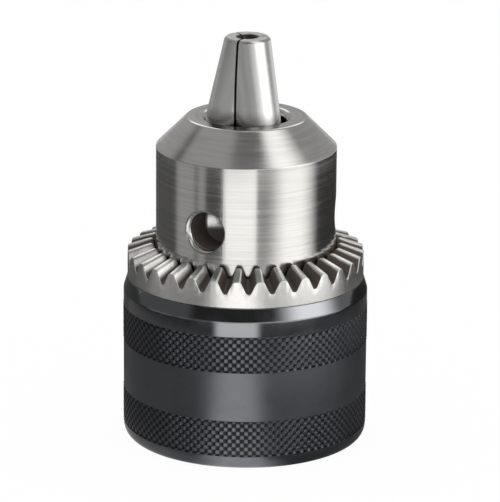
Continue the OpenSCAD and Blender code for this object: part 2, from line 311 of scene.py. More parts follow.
def eased(corners):
    """Closed outline from (radius, height, ease) corners, each rounded over the length that it gives up."""
    outline = []
    for i, (r, z, ease) in enumerate(corners):
        corner = Vector((r, z))
        if ease == 0:
            outline.append(corner)
            continue
        before = Vector(corners[i - 1][:2]) - corner
        after = Vector(corners[(i + 1) % len(corners)][:2]) - corner
        start = corner + before.normalized() * ease
        end = corner + after.normalized() * ease
        for t in (0, 1 / 3, 2 / 3, 1):
            outline.append(start * (1 - t) ** 2 + corner * 2 * t * (1 - t) + end * t * t)
    return outline


def lathe(name, outline, steps):
    """Turns a closed outline of (radius, height) points about the axis."""
    deselect()
    bpy.ops.mesh.primitive_circle_add(vertices=len(outline), fill_type="NOTHING")
    piece = named(name)
    for vertex, (r, z) in zip(piece.data.vertices, outline):
        vertex.co = (r, 0, z)
    edit_all(piece)
    bpy.ops.mesh.spin(steps=steps, angle=TURN, center=(0, 0, 0), axis=(0, 0, 1))
    tidy_edit_mesh()
    return piece


def tidy_edit_mesh():
    """Merges doubles, turns all faces outwards and leaves edit mode."""
    bpy.ops.mesh.select_all(action="SELECT")
    bpy.ops.mesh.remove_doubles(threshold=MERGE)
    bpy.ops.mesh.normals_make_consistent(inside=False)
    bpy.ops.object.mode_set(mode="OBJECT")


def apply_place(piece):
    """Puts an object's place and turn into its mesh."""
    pick(piece)
    bpy.ops.object.transform_apply(location=True, rotation=True, scale=True)


def quarter(steps):
    """Angles of a quarter turn in equal steps."""
    return [i / steps * TURN / 4 for i in range(steps + 1)]


def turned_copy(piece, name, turn):
    """A copy with its own mesh, turned about the axis."""
    pick(piece)
    bpy.ops.object.duplicate(linked=False)
    copy = named(name)
    copy.rotation_euler = (0, 0, turn)
    apply_place(copy)
    return copy


def cut(piece, cutter, operation="DIFFERENCE"):
    """Cuts a piece with another, which is used up."""
    pick(piece)
    uncut = len(piece.data.polygons)
    modifier = piece.modifiers.new("cut", "BOOLEAN")
    modifier.operation = operation
    modifier.solver = "MANIFOLD"
    modifier.object = cutter
    bpy.ops.object.modifier_apply(modifier=modifier.name)
    bpy.data.objects.remove(cutter, do_unlink=True)
    if len(piece.data.polygons) in (0, uncut):
        raise RuntimeError(piece.name + " can't be cut")


def shade(piece, limit):
    """Smooth shading up to an angle, with flat faces kept flat beside their rounded edges."""
    pick(piece)
    bpy.ops.object.shade_smooth_by_angle(angle=math.radians(limit))
    modifier = piece.modifiers.new("weights", "WEIGHTED_NORMAL")
    modifier.keep_sharp = True
    bpy.ops.object.modifier_apply(modifier=modifier.name)


def stand_for(piece, body, slot, *nodes):
    """Ties a finished piece to its body and hides the CAD nodes it stands for; the slot for its record
    finish is not used.
    """
    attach(piece, body)
    if nodes:
        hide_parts(*nodes)


def jaw_rod(name, jaw, radius):
    """A sloped rod along the first jaw's axis, before that is turned to its place."""
    middle = (jaw.tail + jaw.tip) / 2
    reach = 4 * jaw.tip
    deselect()
    bpy.ops.mesh.primitive_cylinder_add(
        vertices=96, radius=radius, depth=reach, rotation=(0, -jaw.slope, 0),
        location=(jaw.foot_r - middle * math.tan(jaw.slope), 0, middle))
    rod = named(name)
    apply_place(rod)
    return rod


# Finishes


class Value:
    """One output of a shader node, on which Python's operators add Math nodes."""

    def __init__(self, recipe, socket):
        self.recipe = recipe
        self.socket = socket

    def math(self, operation, *values):
        return self.recipe.node(
            "ShaderNodeMath", {"operation": operation}, dict(enumerate(values)))

    def __add__(self, other):
        return self.math("ADD", self, other)

    def __radd__(self, other):
        return self.math("ADD", other, self)

    def __sub__(self, other):
        return self.math("SUBTRACT", self, other)

    def __rsub__(self, other):
        return self.math("SUBTRACT", other, self)

    def __mul__(self, other):
        return self.math("MULTIPLY", self, other)

    def __rmul__(self, other):
        return self.math("MULTIPLY", other, self)

    def __truediv__(self, other):
        return self.math("DIVIDE", self, other)

    def __pow__(self, other):
        return self.math("POWER", self, other)


class Recipe:
    """The node tree of one finish."""

    def __init__(self, tree):
        self.tree = tree
        tree.nodes.clear()

    def node(self, kind, settings=None, inputs=None, output=0):
        """Adds a node, sets it up, fills its sockets and gives one of its outputs."""
        node = self.tree.nodes.new(kind)
        for key, value in (settings or {}).items():
            setattr(node, key, value)
        for key, value in (inputs or {}).items():
            if isinstance(value, Value):
                self.tree.links.new(value.socket, node.inputs[key])
            else:
                node.inputs[key].default_value = value
        return Value(self, node.outputs[output]) if len(node.outputs) else None

    def place(self):
        """Object coordinates as a vector and as x, y, z and the distance from the axis."""
        vector = self.node("ShaderNodeTexCoord", output="Object")
        x, y, z = self.split(vector)
        return vector, x, y, z, (x * x + y * y) ** 0.5

    def split(self, vector):
        """The three numbers of a vector."""
        return [self.node("ShaderNodeSeparateXYZ", inputs={0: vector}, output=axis) for axis in "XYZ"]

    def join(self, x, y, z):
        """A vector from three numbers."""
        return self.node("ShaderNodeCombineXYZ", inputs={0: x, 1: y, 2: z})

    def noise(self, vector, scale, detail=2.0, roughness=0.5):
        """Noise from 0 to 1."""
        return self.node("ShaderNodeTexNoise", inputs={
            "Vector": vector, "Scale": scale, "Detail": detail, "Roughness": roughness})

    def ramp(self, value, low, high):
        """Goes smoothly from 0 at the low value to 1 at the high one."""
        return self.node("ShaderNodeMapRange", {"interpolation_type": "SMOOTHSTEP"}, {
            "Value": value, "From Min": low, "From Max": high, "To Min": 0.0, "To Max": 1.0})

    def between(self, value, low, high, soft):
        """1 between two values, with soft ends."""
        return self.ramp(value, low - soft, low + soft) * (1 - self.ramp(value, high - soft, high + soft))

    def mix(self, factor, first, second):
        """A colour between two others."""
        inputs = {0: factor}
        for socket, shade_of in ((6, first), (7, second)):
            inputs[socket] = shade_of if isinstance(shade_of, Value) else (*shade_of, 1.0)
        return self.node("ShaderNodeMix", {"data_type": "RGBA"}, inputs, output=2)

    def bump(self, height, distance, strength):
        """A normal from a height."""
        return self.node("ShaderNodeBump", inputs={
            "Height": height, "Distance": distance, "Strength": strength})

    def surface(self, **inputs):
        """The Principled surface as the output of the finish."""
        sockets = {key.replace("_", " "): value for key, value in inputs.items()}
        shader = self.node("ShaderNodeBsdfPrincipled", inputs=sockets)
        self.node("ShaderNodeOutputMaterial", inputs={"Surface": shader})


def finish_named(name):
    """A new material and its recipe."""
    material = bpy.data.materials.new(name)
    material.use_nodes = True
    return material, Recipe(material.node_tree)


def coat_with(piece, material):
    """Gives a piece one finish."""
    piece.data.materials.clear()
    piece.data.materials.append(material)


def key_hole_shade_and_wear(recipe, body, z, r):
    """Masks of the painted shade in the key holes, left off most of the drill point, and of their worn
    edges.
    """
    reach = 1.4 * body.key_r
    near = recipe.between(z, body.key_height - reach, body.key_height + reach, 0.1 * MM)
    inside = body.front_r - body.key_edge
    floor = body.front_r - body.key_depth
    unshaded_point = recipe.ramp(z, body.key_height - 1.5 * MM, body.key_height - 0.7 * MM)
    unshaded_point = unshaded_point * (1 - recipe.ramp(r, floor + 0.1 * MM, floor + 0.4 * MM))
    hole_shade = near * (1 - recipe.ramp(r, inside - 0.2 * MM, inside + 0.1 * MM)) * (1 - unshaded_point)
    worn = near * (1 - recipe.ramp(r, body.front_r - 0.12 * MM, body.front_r - 0.03 * MM))
    return hole_shade, worn


def turned_steel(name, finish, roughness, lines_per_mm, bump, body=None):
    """Bright steel with fine lines round the axis, with painted shade in the key holes if the body is
    given.
    """
    material, recipe = finish_named(name)
    vector, x, y, z, r = recipe.place()
    along = z + r * 0.8
    fine = recipe.noise(recipe.join(x * 90, y * 90, along * (lines_per_mm * 2.6 / MM)), 1.0, 2.0, 0.6)
    broad = recipe.noise(recipe.join(x * 30, y * 30, along * (lines_per_mm * 0.7 / MM)), 1.0, 2.0, 0.6)
    clouds = recipe.noise(vector, 160.0, 3.0)
    lines = recipe.ramp(fine * 0.55 + broad * 0.45, 0.32, 0.68)
    base = recipe.mix(lines * 0.75 + clouds * 0.25, finish.body_dark, finish.body_light)
    rough = roughness - 0.06 + lines * 0.07 + clouds * 0.07
    metal = 1.0
    if body:
        hole_shade, worn = key_hole_shade_and_wear(recipe, body, z, r)
        # Painted shade: brown colour inside the key holes, duller and less metallic
        base = recipe.mix(hole_shade, base, finish.recess_shade)
        rough = rough + 0.3 * hole_shade + 0.1 * worn
        metal = 1.0 - 0.9 * hole_shade
    recipe.surface(
        Base_Color=base, Metallic=metal, Roughness=rough,
        Normal=recipe.bump(fine * 0.6 + broad * 0.4, 0.006 * MM, bump))
    return material


def ground_steel(name, finish, jaw, nose):
    """Hard ground steel, dull on the front end, with painted shade at the nose and in the hollow."""
    material, recipe = finish_named(name)
    vector, x, y, z, r = recipe.place()
    grain = recipe.noise(recipe.join(x * 3200, y * 3200, z * 420), 1.0, 2.0, 0.6)
    clouds = recipe.noise(vector, 210.0, 3.0)
    base = recipe.mix(grain * 0.5 + clouds * 0.5, finish.jaw_dark, finish.jaw_light)
    # Painted shade: dark colour in the hollow between the tips and on the jaws where they come out of the
    # nose
    hollow = 1 - recipe.ramp(r, 0.9 * jaw.hollow_r, jaw.hollow_r)
    end = recipe.ramp(z, jaw.tip - 0.06 * MM, jaw.tip - 0.02 * MM)
    foot = 0.6 * (1 - recipe.ramp(z + (clouds - 0.5) * (2 * MM), nose - 0.5 * MM, nose + 2.5 * MM))
    painted_shade = hollow.math("MAXIMUM", hollow, foot)
    recipe.surface(
        Base_Color=recipe.mix(painted_shade, base, finish.jaw_shade), Metallic=1.0,
        Roughness=finish.jaw_roughness - 0.06 + grain * 0.05 + clouds * 0.08 + 0.1 * painted_shade + 0.35 * end,
        Normal=recipe.bump(grain, 0.003 * MM, 0.5))
    return material


def satin_steel(name, finish, ring, key_height):
    """Pale plated steel with a fine satin surface and painted brown shade between the teeth, left off the
    flanks on the lit side.
    """
    material, recipe = finish_named(name)
    vector, x, y, z, r = recipe.place()
    grain = recipe.noise(vector, 4200.0, 2.0, 0.6)
    clouds = recipe.noise(vector, 420.0, 4.0, 0.6)
    # Painted shade: brown colour deep in the gaps between the teeth, and on the flanks away from the lit
    # side
    depth = (key_height - z) / r * ring.rim_r - (key_height - ring.tip)
    depth = depth + (clouds - 0.5) * (0.5 * MM)
    flank_shade = recipe.ramp(depth, 0.01 * ring.tooth_height, 0.18 * ring.tooth_height)
    gap_shade = recipe.ramp(depth, 0.4 * ring.tooth_height, 0.75 * ring.tooth_height)
    across = (x * math.cos(ring.lit_side) + y * math.sin(ring.lit_side)) / r
    lit_side = recipe.ramp(across + (clouds - 0.5) * 0.1, 0.8, 0.93)
    painted_shade = gap_shade.math("MAXIMUM", gap_shade, flank_shade * (1 - lit_side))
    painted_shade = 0.985 * painted_shade * (1 - recipe.ramp(r, ring.rim_r - 0.14 * MM, ring.rim_r - 0.04 * MM))
    plate = recipe.mix(
        recipe.ramp(grain * 0.4 + clouds * 0.6, 0.3, 0.7), finish.ring_dark, finish.ring_light)
    recipe.surface(
        Base_Color=recipe.mix(painted_shade, plate, finish.recess_shade), Metallic=1.0 - 0.6 * painted_shade, Specular_IOR_Level=0.2,
        Roughness=finish.ring_roughness - 0.08 + clouds * 0.16 + 0.15 * painted_shade,
        Normal=recipe.bump(grain * 0.7 + clouds * 0.3, 0.006 * MM, 0.5))
    return material


def black_oxide(name, finish, sleeve):
    """Blackened steel with faint turning lines and clouds, and a knurl with rubbed tops and painted shade
    in its pits.
    """
    material, recipe = finish_named(name)
    vector, x, y, z, r = recipe.place()
    lines = recipe.noise(recipe.join(x * 80, y * 80, (z + r) * 5200), 1.0, 2.0, 0.6)
    grain = recipe.noise(vector, 3600.0, 2.0, 0.6)
    clouds = recipe.noise(vector, 240.0, 4.0, 0.6)
    rubbed = recipe.ramp(r, sleeve.outer_r + 0.08 * MM, sleeve.peak_r) * recipe.ramp(clouds, 0.3, 0.75)
    lower_end = sleeve.lower_knurl + sleeve.knurl_h
    upper_end = sleeve.upper_knurl + sleeve.knurl_h
    soft = 0.1 * MM
    bands = recipe.between(z, sleeve.lower_knurl, lower_end, soft)
    bands = bands + recipe.between(z, sleeve.upper_knurl, upper_end, soft)
    # Painted shade: dark colour in the pits of the knurl
    pits = bands * (1 - recipe.ramp(r, sleeve.outer_r - 0.08 * MM, sleeve.peak_r - 0.12 * MM))
    polished = recipe.ramp(z, upper_end, upper_end + soft)
    handled = recipe.between(z, lower_end, sleeve.upper_knurl, 2 * soft)
    base = recipe.mix(
        recipe.ramp(clouds * 0.6 + grain * 0.4, 0.3, 0.7) + 0.5 * handled, finish.oxide_dark, finish.oxide)
    base = recipe.mix(0.8 * polished, base, finish.oxide_polished)
    base = recipe.mix(0.9 * pits, recipe.mix(rubbed, base, finish.oxide_worn), finish.knurl_pit_shade)
    recipe.surface(
        Base_Color=base, Metallic=1.0,
        Roughness=finish.oxide_roughness - 0.08 + clouds * 0.1 + grain * 0.06
        + 0.12 * handled + 0.16 * bands - 0.13 * polished,
        Normal=recipe.bump(lines * 0.5 + grain * 0.5, 0.005 * MM, 0.45))
    return material


def plain_metal(name, tint, roughness):
    """Metal of a hidden piece, with faint clouds."""
    material, recipe = finish_named(name)
    vector, x, y, z, _ = recipe.place()
    clouds = recipe.noise(vector, 380.0, 4.0, 0.6)
    lines = recipe.noise(recipe.join(x * 80, y * 80, z * 4200), 1.0, 2.0)
    dark = [channel * 0.78 for channel in tint]
    recipe.surface(
        Base_Color=recipe.mix(clouds * 0.6 + lines * 0.4, dark, tint), Metallic=1.0,
        Roughness=roughness - 0.05 + clouds * 0.1,
        Normal=recipe.bump(lines, 0.004 * MM, 0.4))
    return material


# Operators


class ChuckBodyOperator(bpy.types.Operator):
    """Turn the body, bore it for the jaws and drill the key holes"""

    bl_idname = "chuck.body"
    bl_label = "Model the body"

    def execute(self, context):
        settings = context.scene.chuck
        size = settings.body
        jaw = settings.jaw
        edge = 0.16 * MM
        rear_edge = 0.6 * MM
        cone_edge = 0.08 * MM
        nose_edge = 0.28 * MM
        mouth_edge = 0.3 * MM
        body = lathe("turned_body", eased([
            (size.thread_mouth_r, 0, 0), (size.collar_r, 0, rear_edge),
            (size.collar_r, size.collar_top, edge), (size.groove_r, size.collar_top, edge),
            (size.groove_r, size.shoulder, edge), (size.front_r, size.shoulder, edge),
            (size.front_r, size.cone_foot, cone_edge), (size.nose_flat_r, size.nose, nose_edge),
            (size.mouth_r, size.nose, mouth_edge), (size.throat_r, size.nose - size.mouth_depth, edge),
            (size.throat_r, size.throat_floor, edge), (size.screw_r, size.throat_point, edge),
            (size.screw_r, size.thread_depth, edge), (size.thread_mouth_r, size.thread_depth, edge)
        ]), steps=192)
        for i in range(3):
            rod = jaw_rod("jaw_bore", jaw, jaw.rod_r + jaw.play)
            rod.rotation_euler = (0, 0, jaw.first + i * TURN / 3)
            apply_place(rod)
            cut(body, rod)
        for i in range(3):
            cut(body, self.key_drill(size, i * TURN / 3))
        shade(body, limit=32)
        finish = settings.finish
        coat_with(body, turned_steel(
            "turned_steel", finish, finish.body_roughness, lines_per_mm=3.2, bump=0.18, body=size))
        stand_for(body, "body", "body_steel", "chuck_body")
        return {"FINISHED"}

    def key_drill(self, size, turn):
        """A drill lying in one key hole, with a flare that rounds the edge of the hole along the body."""
        floor = size.front_r - size.key_depth
        point = floor - size.key_r / math.tan(size.drill_angle)
        edge = size.key_edge
        sunk = 0.94 * edge
        flare_foot = size.front_r - sunk
        flare = [(size.key_r + edge * (1 - math.cos(a)), flare_foot + edge * math.sin(a))
                 for a in quarter(8)]
        outside = size.front_r + edge
        drill = lathe("key_drill", [
            (0, point), (size.key_r, floor), *flare, (size.key_r + edge, outside), (0, outside)],
            steps=72)
        for vertex in drill.data.vertices:
            above = vertex.co.z - flare_foot
            if above > -HAIR:
                vertex.co.x -= size.key_drift * min(1, above / edge)
                vertex.co.z -= size.front_r - math.sqrt(size.front_r ** 2 - vertex.co.x ** 2)
        drill.rotation_euler = (math.pi / 2, 0, turn)
        drill.location = (0, 0, size.key_height)
        apply_place(drill)
        return drill


class ChuckThreadOperator(bpy.types.Operator):
    """Cut the spindle thread in the rear of the body"""

    bl_idname = "chuck.spindle_thread"
    bl_label = "Cut the spindle thread"

    def execute(self, context):
        settings = context.scene.chuck
        size = settings.body
        rows = 100
        clearance = 0.004 * MM
        wall_r = size.thread_mouth_r - clearance
        inside = [(size.thread_minor_r, size.thread_depth * i / rows) for i in range(rows + 1)]
        thread = lathe("spindle_thread", inside + [(wall_r, size.thread_depth), (wall_r, 0)], steps=72)
        for vertex in thread.data.vertices:
            x, y, z = vertex.co
            if math.hypot(x, y) < size.thread_major_r:
                r = self.thread_r(size, wall_r, z, math.atan2(y, x))
                vertex.co = Vector((x, y, 0)).normalized() * r + Vector((0, 0, z))
        shade(thread, limit=30)
        finish = settings.finish
        coat_with(thread, turned_steel(
            "thread_steel", finish, finish.body_roughness + 0.08, lines_per_mm=3.0, bump=0.4))
        stand_for(thread, "body", "body_steel")
        return {"FINISHED"}

    def thread_r(self, size, wall_r, z, place):
        """Radius of the thread at a height and an angle, opened by the bevel at the mouth."""
        phase = (z / size.thread_pitch - place / TURN) % 1
        flank = 2.5
        crest = 0.12
        groove = min(1, max(0, flank * (0.5 - abs(phase - 0.5)) - crest))
        depth = size.thread_major_r - size.thread_minor_r
        return max(size.thread_minor_r + groove * depth, wall_r - z)


class ChuckJawsOperator(bpy.types.Operator):
    """Cut one jaw from a sloped rod, tooth its back and copy it twice"""

    bl_idname = "chuck.jaws"
    bl_label = "Model the jaws"

    def execute(self, context):
        settings = context.scene.chuck
        jaw = settings.jaw
        piece = jaw_rod("ground_jaw_1", jaw, jaw.rod_r)
        cut(piece, self.limits(jaw), "INTERSECT")
        deselect()
        bpy.ops.mesh.primitive_cylinder_add(vertices=32, radius=jaw.grip_r, depth=4 * jaw.tip)
        cut(piece, named("grip_hollow"))
        self.split_sides(piece, jaw)
        modifier = piece.modifiers.new("edges", "BEVEL")
        modifier.width = jaw.edge
        modifier.segments = 2
        modifier.limit_method = "ANGLE"
        modifier.angle_limit = math.radians(32)
        pick(piece)
        bpy.ops.object.modifier_apply(modifier=modifier.name)
        shade(piece, limit=32)
        finish = settings.finish
        coat_with(piece, ground_steel("ground_steel", finish, jaw, settings.body.nose))
        piece.rotation_euler = (0, 0, jaw.first)
        apply_place(piece)
        stand_for(piece, "jaw_1", "jaw_steel", "jaw_1")
        for i in (2, 3):
            copy = turned_copy(piece, "ground_jaw_%d" % i, (i - 1) * TURN / 3)
            stand_for(copy, "jaw_%d" % i, "jaw_steel", "jaw_%d" % i)
        return {"FINISHED"}

    def limits(self, jaw):
        """The turned space that a closed jaw fills, with the thread teeth on its outside."""
        outline = [(0, jaw.tail), (jaw.tail_r - jaw.tail_bevel, jaw.tail)]
        lean = math.tan(jaw.slope)
        line_r = jaw.tail_r - jaw.tail_bevel * lean
        teeth = int(jaw.tooth_length / jaw.tooth_pitch)
        foot = jaw.tail + jaw.tail_bevel
        pitch = jaw.tooth_pitch
        land = 0.3 * pitch
        for i in range(teeth):
            z = foot + i * pitch
            crest = line_r - (z - foot) * lean
            root = crest - jaw.tooth_depth
            outline += [
                (crest, z), (crest - land * lean, z + land),
                (root, z + 0.5 * pitch), (root, z + 0.62 * pitch)]
        outline += [
            (jaw.tail_r, foot + teeth * pitch), (jaw.tail_r, jaw.tip - (jaw.tail_r - jaw.tip_r)),
            (jaw.tip_r, jaw.tip), (jaw.hollow_r, jaw.tip), (0, jaw.tip - jaw.hollow_r)]
        return lathe("jaw_limits", outline, steps=160)

    def split_sides(self, piece, jaw):
        """Cuts away the two sides of the rod along the slits."""
        apex = Vector((jaw.slit / 2 / math.sin(TURN / 6), 0, 0))
        reach = 4 * jaw.tip
        for side in (1, -1):
            turn = side * (TURN / 4 + TURN / 6)
            normal = Vector((math.cos(turn), math.sin(turn), 0))
            deselect()
            bpy.ops.mesh.primitive_cube_add(
                size=reach, rotation=(0, 0, turn), location=apex + normal * reach / 2)
            cut(piece, named("side_cutter"))


class ChuckRingOperator(bpy.types.Operator):
    """Model one tooth space of the gear ring and repeat it round the axis"""

    bl_idname = "chuck.gear_ring"
    bl_label = "Model the gear ring"

    def execute(self, context):
        settings = context.scene.chuck
        ring = settings.ring
        key_height = settings.body.key_height
        columns = self.columns(ring)
        rows = len(self.section(ring, key_height, ring.tip))
        deselect()
        bpy.ops.mesh.primitive_grid_add(x_subdivisions=len(columns) - 1, y_subdivisions=rows - 1, size=1)
        piece = named("bevel_gear_ring")
        if len(piece.data.vertices) != len(columns) * rows:
            raise RuntimeError("the grid of a tooth space has the wrong size")
        for vertex in piece.data.vertices:
            place, top = columns[round((vertex.co.x + 0.5) * (len(columns) - 1))]
            r, z = self.section(ring, key_height, top)[round((vertex.co.y + 0.5) * (rows - 1))]
            turn = ring.turn - TURN / 4 + place
            vertex.co = (r * math.cos(turn), r * math.sin(turn), z)
        step = TURN / ring.teeth
        edit_all(piece)
        bpy.ops.mesh.spin(
            steps=ring.teeth - 1, dupli=True, angle=TURN - step, center=(0, 0, 0), axis=(0, 0, 1))
        tidy_edit_mesh()
        shade(piece, limit=34)
        coat_with(piece, satin_steel("satin_steel", settings.finish, ring, key_height))
        stand_for(piece, "sleeve", "ring_steel", "gear_ring")
        return {"FINISHED"}

    def columns(self, ring):
        """(angle, height at the rim) across one tooth space, from one tooth's middle to the next."""
        half = ring.rim_r * math.sin(TURN / 2 / ring.teeth)
        root = Vector((0, ring.root_round))
        tip = Vector((half, ring.tooth_height - ring.tip_round * math.sin(ring.land)))
        span = tip - root
        flank = math.atan2(span.x, span.y) - math.asin((ring.root_round + ring.tip_round) / span.length)
        right = [root + ring.root_round * Vector((math.sin(a), -math.cos(a)))
                 for a in (i / 4 * (math.pi / 2 - flank) for i in range(5))]
        right.append((right[-1] + tip + ring.tip_round * Vector((-math.cos(flank), math.sin(flank)))) / 2)
        for i in range(7):
            a = flank + (ring.land - flank) * i / 6
            right.append(tip + ring.tip_round * Vector((-math.cos(a), math.sin(a))))
        right.append(Vector((half, ring.tooth_height)))
        left = [Vector((-point.x, point.y)) for point in reversed(right[1:])]
        floor = ring.tip - ring.tooth_height
        return [(point.x / half * TURN / 2 / ring.teeth, floor + point.y) for point in left + right]

    def section(self, ring, key_height, top):
        """Closed section through the ring where its teeth have that height at the rim."""
        slope = (key_height - top) / ring.rim_r

        def tooth(r):
            return key_height - slope * r

        chamfer = 0.12 * MM
        rim = ring.rim_r - ring.rim_edge
        points = [
            (ring.rim_r - chamfer, ring.seat), (ring.rim_r, ring.seat + chamfer),
            (ring.rim_r, (ring.seat + tooth(ring.rim_r)) / 2)]
        for a in quarter(3):
            r = rim + ring.rim_edge * math.cos(a)
            points.append((r, tooth(r) - ring.rim_edge * (1 - math.sin(a))))
        root_growth = 0.9
        end = ring.inner_edge * (1 + root_growth * (ring.tip - top) / ring.tooth_height)
        inner = ring.bore_r + end
        for i in (1, 2):
            r = rim + (inner - rim) * i / 3
            points.append((r, tooth(r)))
        for a in quarter(5):
            r = inner - end * math.sin(a)
            points.append((r, tooth(r) - ring.inner_edge * (1 - math.cos(a))))
        return points + [
            (ring.bore_r, ring.socket), (ring.socket_r, ring.socket), (ring.socket_r, ring.spigot),
            (ring.spigot_r, ring.spigot), (ring.spigot_r, ring.seat), points[0]]


class ChuckSleeveOperator(bpy.types.Operator):
    """Turn the sleeve and press the diamonds into its two knurled bands"""

    bl_idname = "chuck.sleeve"
    bl_label = "Model the sleeve"

    def execute(self, context):
        settings = context.scene.chuck
        size = settings.sleeve
        groove_r = size.bore_r + size.groove_depth
        outline = [Vector((
            size.outer_r - size.foot_round_w * (1 - math.sin(a)),
            size.foot + size.foot_round_h * (1 - math.cos(a)))) for a in quarter(8)]
        for foot in (size.lower_knurl, size.upper_knurl):
            outline.append(Vector((size.outer_r, foot)))
            outline += [Vector((size.outer_r, z)) for z in self.knurl_rows(size, foot)]
            outline.append(Vector((size.outer_r, foot + size.knurl_h)))
        cone_edge = 0.14 * MM
        top_edge = 0.1 * MM
        outline += eased([
            (size.outer_r, size.cone_foot, cone_edge), (size.top_r, size.top, top_edge),
            (size.bore_r, size.top, 0), (size.bore_r, size.groove_high, 0),
            (groove_r, size.groove_high - size.groove_depth, 0), (groove_r, size.groove_low, 0),
            (size.bore_r, size.groove_low, 0), (size.bore_r, size.foot, 0)
        ])
        sleeve = lathe("knurled_black_sleeve", outline, steps=2 * size.diamonds)
        peaks = self.press_knurl(sleeve, size)
        self.flatten_peaks(sleeve, size, peaks)
        shade(sleeve, limit=24)
        coat_with(sleeve, black_oxide("black_oxide", settings.finish, size))
        stand_for(sleeve, "sleeve", "black_oxide", "knurled_sleeve")
        return {"FINISHED"}

    def knurl_rows(self, size, foot):
        """Heights of the rows of diamond corners in one band."""
        margin = 0.05 * MM
        step = (size.knurl_h - 2 * margin) / size.diamond_rows
        return [foot + margin + i * step for i in range(size.diamond_rows + 1)]

    def press_knurl(self, sleeve, size):
        """Moves the corners of the rows out to peaks and in to pits, and gives the number of peaks."""
        peaks = 0
        for foot in (size.lower_knurl, size.upper_knurl):
            rows = self.knurl_rows(size, foot)
            step = rows[1] - rows[0]
            for vertex in sleeve.data.vertices:
                x, y, z = vertex.co
                row = round((z - rows[0]) / step)
                outside = math.hypot(x, y) > size.outer_r - HAIR
                if not outside or not 0 <= row < len(rows) or abs(z - rows[row]) > HAIR:
                    continue
                column = round(math.atan2(y, x) / TURN * 2 * size.diamonds)
                r = size.pit_r
                if (row + column) % 2:
                    inner_row = 0 < row < size.diamond_rows
                    r = size.peak_r if inner_row else (size.outer_r + size.peak_r) / 2
                    peaks += inner_row
                vertex.co = Vector((x, y, 0)).normalized() * r + Vector((0, 0, z))
        return peaks

    def flatten_peaks(self, sleeve, size, peaks):
        """Puts a saddle between the peaks and pits of the knurl and wears a small flat on each peak."""
        radii = self.radii(sleeve)
        edit_some(sleeve, "FACE", [
            face.index for face in sleeve.data.polygons
            if any(abs(radii[i] - size.pit_r) < HAIR for i in face.vertices)])
        bpy.ops.mesh.poke(center_mode="MEDIAN")
        bpy.ops.object.mode_set(mode="OBJECT")
        high = [i for i, r in enumerate(self.radii(sleeve)) if r > size.peak_r - HAIR]
        if len(high) != peaks:
            raise RuntimeError("the knurl has %d peaks instead of %d" % (len(high), peaks))
        edit_some(sleeve, "VERT", high)
        bpy.ops.mesh.bevel(offset=size.peak_flat, affect="VERTICES", segments=1)
        bpy.ops.object.mode_set(mode="OBJECT")

    def radii(self, sleeve):
        """Distances of the sleeve's corners from the axis."""
        return [math.hypot(vertex.co.x, vertex.co.y) for vertex in sleeve.data.vertices]


class ChuckInsideOperator(bpy.types.Operator):
    """Finish the split nut and the ball bearing inside the sleeve"""

    bl_idname = "chuck.inside"
    bl_label = "Finish the inner pieces"

    def execute(self, context):
        finish = context.scene.chuck.finish
        nut = plain_metal("nut_steel", finish.nut, roughness=0.38)
        bearing = plain_metal("bearing_steel", finish.bearing, roughness=0.12)
        brass = plain_metal("cage_brass", finish.brass, roughness=0.3)
        for name, material in (
                ("nut_half_left", nut), ("nut_half_right", nut), ("thrust_race", bearing),
                ("bearing_balls", bearing), ("ball_cage", brass)):
            coat_with(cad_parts[name], material)
        return {"FINISHED"}


